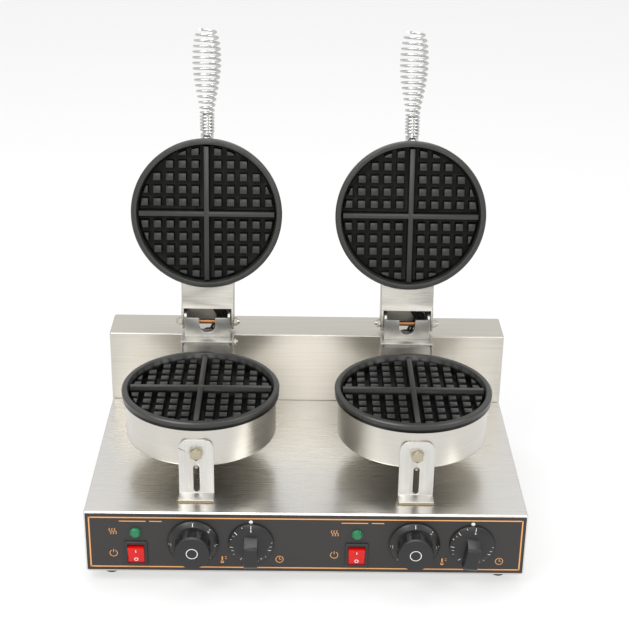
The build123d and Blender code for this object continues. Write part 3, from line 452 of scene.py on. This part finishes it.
# Drums: steel cups spun and brushed around their axis, so the streaks run around the wall.
# The wall of a lid's drum draws in a little towards the back on the handle's side, so that it
# stays out of sight behind the plate.
lid_swing = radians(9.3)
lid_up = Vector((0, sin(lid_swing), cos(lid_swing)))
lid_out = Vector((0, -cos(lid_swing), sin(lid_swing)))
hinge_reach = 0.1404
hinge_rise = 0.0173
pivots = {j["name"]: Vector(j["pos_m"]) for j in frame["record"]["behaviour"]["joints"]}
drum_steel = brushed_stainless("drum_brushed_stainless", (9, 9, 900), "#d0cdc6", "#c9c5bd", relief=0.0)
lid_drum_steel = brushed_stainless(
    "lid_drum_brushed_stainless", (9, 900, 9), "#d0cdc6", "#c9c5bd", turn=(-lid_swing, 0, 0), relief=0.0
)
draw_start = 0.030
draw_end = 0.058
draw_share = 0.06


def lid_point(side, across, along, out):
    """A point of an open lid: across, towards the handle and out of its plate, from its centre."""
    centre = pivots[f"{side}_lid_hinge"] + lid_up * hinge_reach + lid_out * hinge_rise
    return centre + Vector((across, 0, 0)) + lid_up * along + lid_out * out


for side in head_x:
    dress(f"{side}_lower_drum", drum_steel)
    lid_centre = lid_point(side, 0, 0, 0)
    drum_mesh = frame["nodes"][f"{side}_upper_drum"].data.copy()
    for corner in drum_mesh.vertices:
        spoke = corner.co - lid_centre
        depth = -spoke.dot(lid_out)
        reach = spoke.dot(lid_up)
        spread = sqrt(spoke.x * spoke.x + reach * reach)
        if depth > draw_start and reach > 0:
            pull = draw_share * (depth - draw_start) / (draw_end - draw_start) * min(1, 2 * reach / spread)
            corner.co -= (Vector((spoke.x, 0, 0)) + lid_up * reach) * pull
    drum = new_piece(f"{side}_lid_drum_drawn", drum_mesh, lid_drum_steel, f"{side}_lid")
    drum_mesh.set_sharp_from_angle(angle=radians(40))
    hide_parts(f"{side}_upper_drum")

# Waffle plates: cast aluminium under a black non-stick coat. The coat is sprayed, so it has a
# slight orange peel and rounds every edge. Painted shade darkens the grooves, and a painted
# highlight lightens the tops of the pegs.
# The peel is drawn about 1 mm wide, coarser than a real one, so that it shows.
recess_depth = 0.014


def nonstick_coat(name, out, level, groove_shade_colour):
    """The coat, with painted shade that darkens it and lowers its specular level towards the groove floors, a
    painted highlight on the peg tops, and a faint random unevenness.
    """
    material, tree, shader = new_material(name, IOR=1.5)
    place = add_node(tree, "ShaderNodeTexCoord").outputs["Object"]
    peel = add_node(tree, "ShaderNodeTexNoise", {"Vector": place, "Scale": 1100.0}).outputs["Fac"]
    cloud = add_node(tree, "ShaderNodeTexNoise", {"Vector": place, "Scale": 45.0}).outputs["Fac"]
    rise = add_node(tree, "ShaderNodeVectorMath", {0: place, 1: out}, operation="DOT_PRODUCT")
    # Painted shade: a share of depth below the plate's face, 0 at the groove floor and 1 on top.
    recess = {"Value": rise.outputs["Value"], "From Min": level - recess_depth, "From Max": level}
    height = add_node(tree, "ShaderNodeMapRange", recess).outputs["Result"]
    uneven = add_node(tree, "ShaderNodeMath", {0: cloud, 1: 0.08}, operation="MULTIPLY").outputs[0]
    shade_share_and_tone = add_node(tree, "ShaderNodeMath", {0: height, 1: uneven}, operation="ADD").outputs[0]
    # Painted shade and highlight: the dark groove colour at depth, lighter grey on the peg tops.
    colour = add_node(tree, "ShaderNodeValToRGB", {0: shade_share_and_tone})
    colour.color_ramp.elements[0].color = linear(groove_shade_colour)
    colour.color_ramp.elements[0].position = 0.58
    colour.color_ramp.elements[1].color = linear("#282826")
    colour.color_ramp.elements[1].position = 0.7
    bump = add_node(tree, "ShaderNodeBump", {"Height": peel, "Strength": 0.3, "Distance": 0.00015})
    rough = add_node(tree, "ShaderNodeMapRange", {"Value": cloud, "To Min": 0.26, "To Max": 0.4})
    # Painted shade: the specular level is low in the grooves and high on the peg tops.
    shaded_gleam_range = {"Value": shade_share_and_tone, "From Min": 0.5, "From Max": 0.7, "To Min": 0.12, "To Max": 0.55}
    painted_gleam = add_node(tree, "ShaderNodeMapRange", shaded_gleam_range)
    tree.links.new(colour.outputs["Color"], shader.inputs["Base Color"])
    tree.links.new(rough.outputs["Result"], shader.inputs["Roughness"])
    tree.links.new(painted_gleam.outputs["Result"], shader.inputs["Specular IOR Level"])
    tree.links.new(bump.outputs["Normal"], shader.inputs["Normal"])
    return material


def softened(node, name, width, material, body, slot):
    """The real piece's rounded edges: a copy of a solid whose sharp edges are rolled over."""
    flat_angle = radians(1.5)
    rolled_angle = radians(35)
    crease_angle = radians(50)
    form = bmesh.new()
    form.from_mesh(frame["nodes"][node].data)
    bmesh.ops.remove_doubles(form, verts=form.verts, dist=1e-6)
    bmesh.ops.dissolve_limit(form, angle_limit=flat_angle, verts=form.verts, edges=form.edges)
    mesh = bpy.data.meshes.new(name)
    form.to_mesh(mesh)
    form.free()
    piece = new_piece(name, mesh, material, body)
    bevel = piece.modifiers.new("rolled_edges", "BEVEL")
    bevel.width = width
    bevel.segments = 2
    bevel.limit_method = "ANGLE"
    bevel.angle_limit = rolled_angle
    settled = bpy.data.meshes.new_from_object(piece.evaluated_get(bpy.context.evaluated_depsgraph_get()))
    piece.modifiers.clear()
    piece.data = settled
    settled.set_sharp_from_angle(angle=crease_angle)
    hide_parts(node)
    return piece


plate_round = 0.0009
lower_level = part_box("left_lower_plate")[1].z
upper_level = lid_point("left", 0, 0, 0).dot(lid_out)
# The lower plates get a darker painted groove shade than the upright lid plates.
lower_coat = nonstick_coat("nonstick_lower_plate", Vector((0, 0, 1)), lower_level, "#090909")
upper_coat = nonstick_coat("nonstick_upper_plate", lid_out, upper_level, "#161615")
for side in head_x:
    lower = (f"{side}_lower_plate", f"{side}_lower_plate_coated")
    softened(*lower, plate_round, lower_coat, "base", "cast_nonstick")
    upper = (f"{side}_upper_plate", f"{side}_upper_plate_coated")
    softened(*upper, plate_round, upper_coat, f"{side}_lid", "cast_nonstick")

# Heating elements: steel tubes that have turned dark and matt from heat.
# They lie under each plate, inside the drum, and show only when a plate is taken off.
heater_tube = plated_steel("heat_darkened_tube", "#5b5450", 0.5)
for side in head_x:
    dress(f"{side}_lower_heater", heater_tube)
    dress(f"{side}_upper_heater", heater_tube)

# Front straps: laser-cut stainless, bent into a foot and tacked to the deck along its toe.
# The bolts are zinc plated with a pale yellow passivation.
strap_steel = brushed_stainless("strap_brushed_stainless", (700, 700, 12), "#dad8d4", "#cfcdc8", 0.42)
bolt_zinc = plated_steel("pale_zinc_bolt", "#b5ad97", 0.18)
bolt_round = 0.0005
sheet_round = 0.0004
toe_weld_width = 0.0034
toe_weld_past = 0.0008
corner_weld_width = 0.003
corner_weld_run = Vector((0, 0.006, 0))
softened("strap_bolts", "strap_bolts_edges", bolt_round, bolt_zinc, "base", "bright_steel")
for seed, side in enumerate(head_x):
    softened(f"{side}_strap", f"{side}_strap_edges", sheet_round, strap_steel, "base", "stainless_steel")
    strap_low, strap_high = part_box(f"{side}_strap")
    toe_y = strap_low.y - 0.0004
    toe_z = deck_top + 0.0006
    toe_start = Vector((strap_low.x - toe_weld_past, toe_y, toe_z))
    toe_end = Vector((strap_high.x + toe_weld_past, toe_y, toe_z))
    weld_bead(f"{side}_toe_weld", toe_start, toe_end, toe_weld_width, seed + 11.0)
    corner = Vector((strap_low.x - 0.0012, toe_y + 0.0015, toe_z))
    weld_bead(f"{side}_corner_weld", corner, corner + corner_weld_run, corner_weld_width, seed + 17.0)

# Hinges: bent steel posts and saddles behind the lower drums, and the arms that carry the lids.
# They are coarser sheet than the case, with a cloudy rolled surface and dull edges. The rod that
# the arm turns on is copper plated, and its dome nuts are nickel plated.
hinge_steel = brushed_stainless("hinge_rolled_steel", (60, 60, 60), "#cfcdc8", "#bab8b3", 0.42)
arm_steel = brushed_stainless("arm_brushed_steel", (40, 600, 600), "#b7b4ad", "#a3a099", 0.38)
rod_copper = plated_steel("copper_plated_rod", "#a87750", 0.38)
bracket_round = 0.0003
hinge_rounds = {"hinge_post": sheet_round, "drum_bracket": bracket_round, "hinge_saddle": sheet_round}
dress("hinge_fasteners", plated_steel("nickel_plated_nut", "#b3aea3", 0.24))
for side in head_x:
    for part, width in hinge_rounds.items():
        softened(f"{side}_{part}", f"{side}_{part}_edges", width, hinge_steel, "base", "stainless_steel")
    arm = (f"{side}_hinge_arm", f"{side}_hinge_arm_edges")
    softened(*arm, sheet_round, arm_steel, f"{side}_lid", "stainless_steel")
    dress(f"{side}_pivot_rod", rod_copper)

# Leads: glass-fibre sleeves that run through rubber grommets in the upstand, past the pivot rod
# and up the arm. Each is one tube that turns about the pivot.
dress("lead_grommets", foot_rubber)
sleeve_black = grained_plastic("varnished_glass_sleeve", "#1b1b1c", 0.4, 0.8, 0.0003)
lead_count = 4
lead_pitch = 0.0046
lead_radius = 0.0017
lead_squeeze = 0.76
lead_bow = 0.0172
lead_back = 0.014
lead_lean = 0.0015
grommet_offset = 0.007
grommet_depth = 0.03
upstand_clear = 0.002
lid_hole_shift = -0.005
lid_hole_depth = -0.026
lid_hole_along = -0.1005
lid_end_along = -0.0805


def tube_mesh(name, points, radius, resolution=8):
    """A round tube along a smooth curve through a few points."""
    curve = bpy.data.curves.new(name, "CURVE")
    curve.dimensions = "3D"
    spline = curve.splines.new("NURBS")
    spline.points.add(len(points) - 1)
    for spot, place in zip(spline.points, points):
        spot.co = (*place, 1)
    spline.order_u = 3
    spline.use_endpoint_u = True
    spline.resolution_u = resolution
    curve.bevel_depth = radius
    curve.bevel_resolution = 4
    curve.use_fill_caps = True
    holder = bpy.data.objects.new(name, curve)
    bpy.context.scene.collection.objects.link(holder)
    mesh = bpy.data.meshes.new_from_object(holder.evaluated_get(bpy.context.evaluated_depsgraph_get()))
    bpy.data.objects.remove(holder)
    return mesh


for side in head_x:
    pivot = pivots[f"{side}_lid_hinge"]
    turn_y = pivot.y + lead_back
    for index in range(lead_count):
        across = (index - (lead_count - 1) / 2) * lead_pitch
        narrow = across * lead_squeeze
        foot = Vector((pivot.x + across + grommet_offset, turn_y - lead_lean, upstand_high.z - grommet_depth))
        route = [
            foot,
            Vector((foot.x, foot.y, upstand_high.z + upstand_clear)),
            Vector((pivot.x + narrow + lead_bow, turn_y, pivot.z - 0.003)),
            lid_point(side, narrow + lead_bow, -hinge_reach + 0.006, -hinge_rise - lead_back),
            lid_point(side, narrow + lid_hole_shift, lid_hole_along, lid_hole_depth),
            lid_point(side, narrow + lid_hole_shift, lid_end_along, lid_hole_depth),
        ]
        name = f"{side}_lead_{index}"
        lead = bpy.data.objects.new(name, tube_mesh(name, route, lead_radius))
        lead.data.materials.clear()
        lead.data.materials.append(sleeve_black)
        lead.data.shade_smooth()
        bpy.context.scene.collection.objects.link(lead)
        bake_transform(lead)
        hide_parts(f"{side}_lid_leads", "hinge_leads")

# Handles: chrome-plated spring wire wound on a mandrel into a neck and a hollow bulb, which
# stays cool because air passes through it. The wire turns on a plated stem at the drum.
chrome_wire = plated_steel("chrome_plated_wire", "#cfcfce", 0.2)
drum_radius = 0.0885
collar_height = 0.007
wire_radius = 0.0015
neck_radius = 0.0076
bulb_radius = 0.0162
end_radius = 0.0078
neck_length = 0.024
bulb_peak = 0.036
neck_pitch = 0.004
bulb_pitch = 0.0067
pitch_change = 0.006
pitch_grid = 0.0001
handle_depth = 0.024
handle_reach = 0.222
coil_start = drum_radius + collar_height + wire_radius + 0.0002
coil_length = handle_reach - coil_start - wire_radius
steps_per_turn = 32


def grip_radius(travel):
    """The winding's radius at a distance from its start."""
    if travel < neck_length:
        return neck_radius
    from_top = coil_length - travel
    if from_top > bulb_peak:
        share = (travel - neck_length) / (coil_length - neck_length - bulb_peak)
        return neck_radius + (bulb_radius - neck_radius) * sin(share * pi / 2) ** 1.3
    share = max(from_top, 0) / bulb_peak
    return end_radius + (bulb_radius - end_radius) * sqrt(1 - (1 - share) ** 2)


def wound_grip(side):
    """The wire's centre line, a short step at a time; its pitch opens where the neck ends."""
    travel = 0.0
    angle = -90.0
    line = []
    while travel < coil_length:
        r = grip_radius(travel)
        x = r * cos(radians(angle))
        out = -handle_depth - r * sin(radians(angle))
        line.append(lid_point(side, x, coil_start + travel, out))
        stepped = travel - travel % pitch_grid
        share = min(max((stepped - neck_length + pitch_change) / (2 * pitch_change), 0), 1)
        travel += (neck_pitch + (bulb_pitch - neck_pitch) * share) / steps_per_turn
        angle += 360 / steps_per_turn
    return line


for side in head_x:
    name = f"{side}_spring_grip"
    winding = tube_mesh(name, wound_grip(side), wire_radius, resolution=2)
    grip = new_piece(name, winding, chrome_wire, f"{side}_lid")
    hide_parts(f"{side}_handle_coil")
    stem = (f"{side}_handle_stem", f"{side}_stem_edges")
    softened(*stem, sheet_round, chrome_wire, f"{side}_lid", "bright_steel")

# Lamps: faceted green lenses, moulded in clear coloured polycarbonate over a neon.
# The facets on the inside of a lens are drawn about 1.6 mm wide.
lens_green, lens_tree, lens_shader = new_material(
    "green_polycarbonate",
    Base_Color=linear("#12784c"),
    Roughness=0.14,
    IOR=1.58,
    Transmission_Weight=0.2,
    Emission_Color=linear("#0f7a4c"),
    Emission_Strength=0.08,
)
lens_place = add_node(lens_tree, "ShaderNodeTexCoord").outputs["Object"]
lens_cells = add_node(lens_tree, "ShaderNodeTexVoronoi", {"Vector": lens_place, "Scale": 620.0})
lens_facets = {"Height": lens_cells.outputs["Distance"], "Distance": 0.0006}
lens_bump = add_node(lens_tree, "ShaderNodeBump", lens_facets)
lens_tree.links.new(lens_bump.outputs["Normal"], lens_shader.inputs["Normal"])
for side in head_x:
    dress(f"{side}_indicator_lamp", lens_green)

# Switches: black nylon housings, clipped into the front, with red rockers. The rocker is
# glossy polycarbonate that lets a little light through, with a faint painted glow in its red
# and the on and off signs in white.
switch_black = grained_plastic("switch_black_nylon", "#222223", 0.36)
rocker_red = new_material(
    "red_polycarbonate",
    Base_Color=linear("#c60c08"),
    Roughness=0.3,
    IOR=1.58,
    Specular_IOR_Level=0.3,
    Subsurface_Weight=0.1,
    Subsurface_Radius=(0.004, 0.001, 0.001),
    Subsurface_Scale=1.0,
    # Painted glow: a faint red emission, though the rocker holds no lamp.
    Emission_Color=linear("#e8241c"),
    Emission_Strength=0.08,
)[0]
rocker_shift = -0.067
switch_drop = 0.0532
rocker_pivot_depth = 0.005
rocker_tilt = radians(11)
rocker_rise = 0.0034
rocker_valley = 0.0020
rocker_half = 0.0109
rocker_slope = (rocker_rise - rocker_valley) / rocker_half
switch_round = 0.0004
rocker_round = 0.0005
mark_reach = rocker_half * 0.55
mark_out = rocker_pivot_depth + rocker_valley + rocker_slope * mark_reach + 0.0001
for side, middle_x in head_x.items():
    rocker_body = f"{side}_rocker_body"
    switch = (f"{side}_switch_body", f"{side}_switch_edges")
    softened(*switch, switch_round, switch_black, "base", "black_plastic")
    rocker = (f"{side}_rocker", f"{side}_rocker_edges")
    softened(*rocker, rocker_round, rocker_red, rocker_body, "red_plastic")
    axle = (middle_x + rocker_shift, label_face + rocker_pivot_depth, deck_top - switch_drop)
    tilted = Matrix.Translation(axle) @ Matrix.Rotation(rocker_tilt, 4, "X")
    for sign, way in (("on", 1), ("off", -1)):
        face_tip = Matrix.Rotation(way * rocker_slope, 4, "X")
        face_place = tilted @ Matrix.Translation((0, -mark_out, way * mark_reach)) @ face_tip
        mark = Print(face_place @ Matrix.Rotation(radians(90), 4, "X"))
        if sign == "on":
            mark.strip(0, -0.0021, 0, 0.0021, 0.0009)
        else:
            mark.ring(0, 0, 0.0019, 0.0008)
        mark.done(f"{side}_rocker_{sign}_sign", white_ink, rocker_body, "red_plastic")

# Knobs: moulded in black phenolic with a satin face. White ink fills the dial marks, which turn
# with the knob past the white dot on the panel. Behind the front, a cream Bakelite thermostat
# and timer carry the steel spindles.
knob_black = grained_plastic("satin_phenolic", "#1a1a1a", 0.34, 0.6, 0.0001)
spindle_steel = plated_steel("spindle_steel", "#bdbab2", 0.3)
control_bakelite = grained_plastic("thermostat_bakelite", "#c9c2ae", 0.5)
knob_drop = 0.0378
temperature_shift = -0.002
skirt_radius = 0.0288
skirt_edge = 0.0030
skirt_slope = 0.0042 / 0.0050
skirt = (skirt_radius, skirt_edge, skirt_slope)
disc_radius = 0.0256
disc_edge = 0.0028
disc_slope = 1 / tan(radians(70))
disc = (disc_radius, disc_edge, disc_slope)
knob_face = 0.02405
warm_round = 0.0007
time_round = 0.0006
warm_numeral = 0.0026
time_numeral = 0.0034
temperature_step = 50
temperature_clock = radians(45)
timer_clock = radians(50)
timer_turn = {"left": 0.0, "right": radians(8)}


def numeral(target, text, size):
    """Adds a plain number to a print, as flat outlines at the print's own place."""
    words = bpy.data.curves.new("numeral", "FONT")
    words.body = text
    words.size = size
    words.align_x = "CENTER"
    words.align_y = "CENTER"
    holder = bpy.data.objects.new("numeral", words)
    bpy.context.scene.collection.objects.link(holder)
    flat = bpy.data.meshes.new_from_object(holder.evaluated_get(bpy.context.evaluated_depsgraph_get()))
    bpy.data.objects.remove(holder)
    flat.transform(target.place)
    target.mesh.from_mesh(flat)


def cone_place(centre, clock, radius, dial):
    """A plane on a dial's cone at an angle clockwise from the top, with its Y pointing out."""
    edge_radius, edge, slope = dial
    height = edge + (edge_radius - radius) * slope + 0.00008
    turn = Matrix.Rotation(-clock, 4, "Z")
    tip = Matrix.Rotation(-slope, 4, "X")
    return centre @ turn @ Matrix.Translation((0, radius, height)) @ tip


def temperature_marks(centre, face_centre):
    """Ticks and numbers around the skirt, an arrow at the top, and a ring on the grip's face."""
    marks = Print(centre)
    for step in range(7):
        marks.place = cone_place(centre, step * temperature_clock, 0.0272, skirt)
        marks.strip(0, -0.0008, 0, 0.0008, 0.0007)
        if step:
            marks.place = cone_place(centre, step * temperature_clock, 0.0250, skirt)
            numeral(marks, str(temperature_step * step), warm_numeral)
        else:
            marks.strip(-0.0013, 0.0008, 0.0013, 0.0008, 0.0007)
            marks.strip(0, -0.0038, 0, 0, 0.0007)
    marks.place = face_centre
    marks.ring(0, 0, 0.0062, 0.0008)
    return marks


def timer_marks(centre):
    """A long tick and a number for each minute, with a short tick between."""
    marks = Print(centre)
    for step in range(6):
        clock = -timer_clock * step
        marks.place = cone_place(centre, clock, 0.0225, disc)
        marks.strip(0, -0.0024, 0, 0.0018, 0.0006)
        if step:
            marks.place = cone_place(centre, clock - radians(12), 0.0222, disc)
        else:
            marks.place = cone_place(centre, clock, 0.0183, disc)
        numeral(marks, str(step), time_numeral)
        marks.place = cone_place(centre, clock - timer_clock / 2, 0.0236, disc)
        marks.strip(0, -0.0008, 0, 0.0008, 0.0005)
    return marks


for side, middle_x in head_x.items():
    warm_body = f"{side}_temperature_dial"
    warm_knob = (f"{side}_temperature_knob", f"{side}_temperature_knob_edges")
    softened(*warm_knob, warm_round, knob_black, warm_body, "black_plastic")
    dress(f"{side}_temperature_spindle", spindle_steel)
    dress(f"{side}_thermostat", control_bakelite)

    time_body = f"{side}_timer_dial"
    time_knob = (f"{side}_timer_knob", f"{side}_timer_knob_edges")
    softened(*time_knob, time_round, knob_black, time_body, "black_plastic")
    dress(f"{side}_timer_spindle", spindle_steel)
    dress(f"{side}_timer", control_bakelite)

    warm_x = middle_x + temperature_shift
    skirt_centre = front_place(warm_x, deck_top - knob_drop, label_face)
    face_centre = front_place(warm_x, deck_top - knob_drop, label_face - knob_face)
    warm_marks = temperature_marks(skirt_centre, face_centre)
    warm_marks.done(f"{side}_temperature_marks", white_ink, warm_body, "black_plastic")

    disc_centre = front_place(middle_x + timer_shift, deck_top - knob_drop, label_face)
    time_marks = timer_marks(disc_centre @ Matrix.Rotation(-timer_turn[side], 4, "Z"))
    time_marks.done(f"{side}_timer_marks", white_ink, time_body, "black_plastic")
